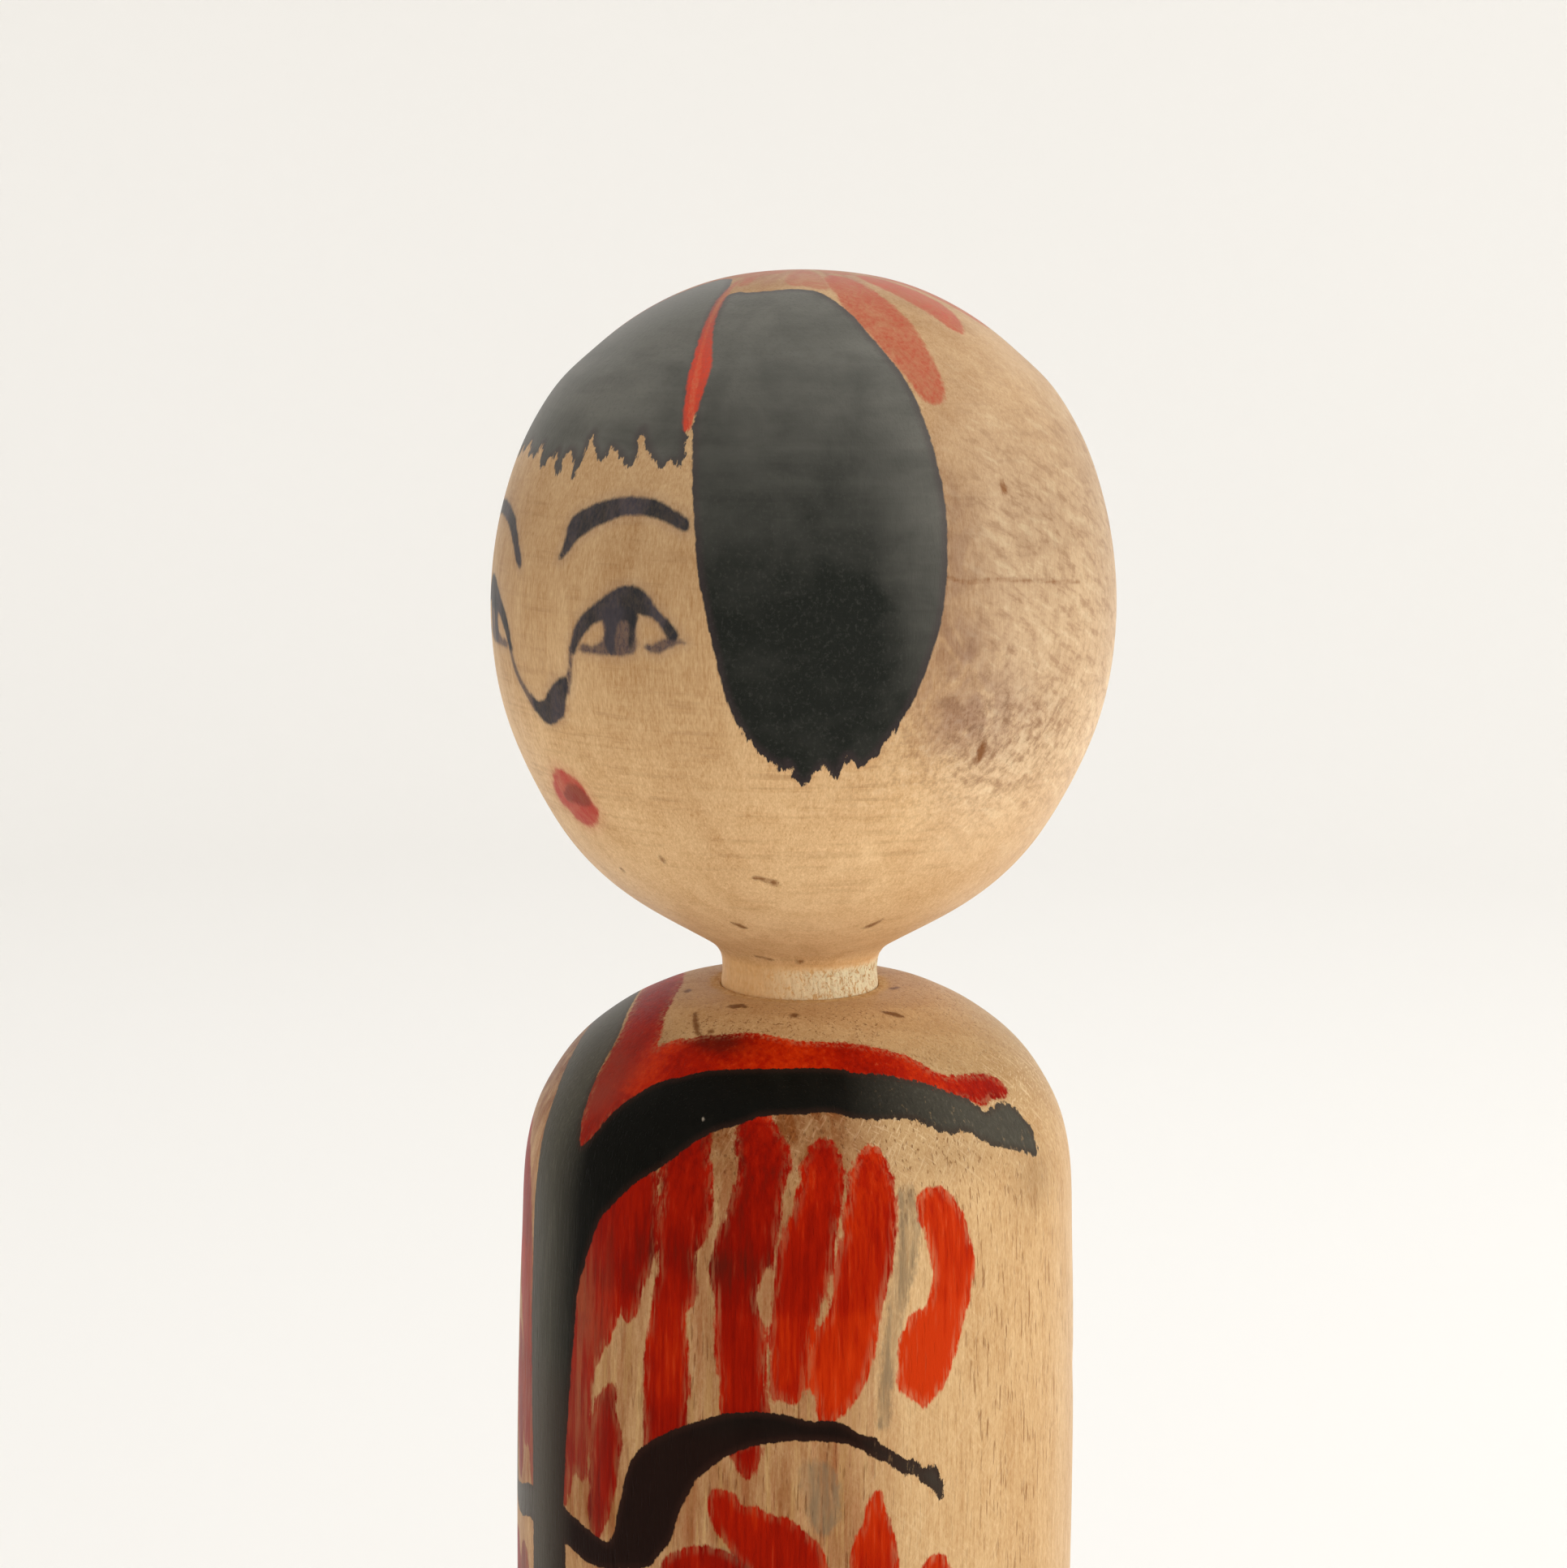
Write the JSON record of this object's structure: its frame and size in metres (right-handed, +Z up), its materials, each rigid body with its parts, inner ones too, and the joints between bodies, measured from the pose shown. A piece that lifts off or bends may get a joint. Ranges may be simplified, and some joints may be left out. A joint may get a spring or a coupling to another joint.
{
  "type": "kokeshi doll",
  "caption": "Turned wooden doll: an egg-shaped head on a short bare neck that rotates in a straight cylindrical body, with brush-painted hair, face and robe.",
  "frame": {"origin": "centre of the base, on the surface the doll stands on", "axes": "+Z up along the turning axis of body and head, -Y the way the face looks, +X the doll's own left side"},
  "size_m": [0.0632, 0.0632, 0.24],
  "materials": {
    "head_wood": "pale close-grained wood, lightly waxed, hand-painted in black and red",
    "body_wood": "pale close-grained wood, lightly waxed, hand-painted in black and red"
  },
  "bodies": {
    "body": {"body": "body_wood"},
    "head": {"head": "head_wood"}
  },
  "joints": [
    {"name": "head_turn", "type": "hinge", "parent": "body", "child": "head", "pos_m": [0, 0, 0.1673], "axis": [0, 0, 1], "continuous": true}
  ]
}
